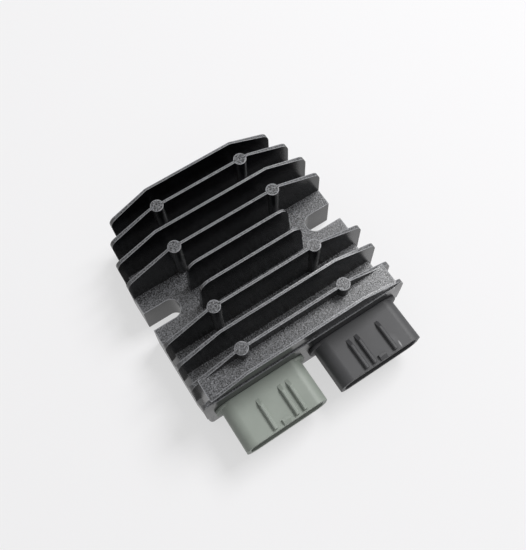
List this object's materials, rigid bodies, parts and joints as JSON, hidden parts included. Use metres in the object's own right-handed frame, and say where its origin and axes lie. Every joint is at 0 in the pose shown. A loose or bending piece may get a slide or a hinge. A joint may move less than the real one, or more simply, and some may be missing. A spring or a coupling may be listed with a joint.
{
  "type": "voltage regulator rectifier",
  "caption": "Finned, black-coated die-cast voltage regulator rectifier for a motorcycle, with a grey and a black plug socket, open mounting slots and resin-potted power electronics.",
  "frame": {"origin": "centre of the overall bounding box at the level of the flat mounting face", "axes": "+X along the cooling fins, +Y from the sockets to the back of the casting, +Z from the mounting face up through the fins; the sockets open towards -Y, the grey one on the -X side"},
  "size_m": [0.09, 0.1048, 0.0365],
  "materials": {
    "coated_casting": "satin",
    "grey_nylon": "satin",
    "black_nylon": "satin",
    "tinned_brass": "bright",
    "zinc_plated_steel": "satin",
    "glass_epoxy_board": "gloss",
    "moulded_epoxy": "matt",
    "silicone_pad": "matt",
    "aluminium_can": "satin",
    "potting_resin": "gloss"
  },
  "bodies": {
    "root": {"black_socket": "black_nylon", "black_terminal_1": "tinned_brass", "black_terminal_2": "tinned_brass", "black_terminal_3": "tinned_brass", "capacitor_left": "aluminium_can", "capacitor_right": "aluminium_can", "circuit_board": "glass_epoxy_board", "clamp_bar_back": "zinc_plated_steel", "clamp_bar_front": "zinc_plated_steel", "clamp_screws": "zinc_plated_steel", "control_chip": "moulded_epoxy", "diodes": "moulded_epoxy", "driver_chip": "moulded_epoxy", "gate_resistors": "moulded_epoxy", "grey_socket": "grey_nylon", "grey_terminal_1": "tinned_brass", "grey_terminal_2": "tinned_brass", "grey_terminal_3": "tinned_brass", "heat_sink": "coated_casting", "insulating_pad_back": "silicone_pad", "insulating_pad_front": "silicone_pad", "potting_compound": "potting_resin", "power_switch_1": "moulded_epoxy", "power_switch_2": "moulded_epoxy", "power_switch_3": "moulded_epoxy", "power_switch_4": "moulded_epoxy", "power_switch_5": "moulded_epoxy", "power_switch_6": "moulded_epoxy"}
  },
  "joints": []
}
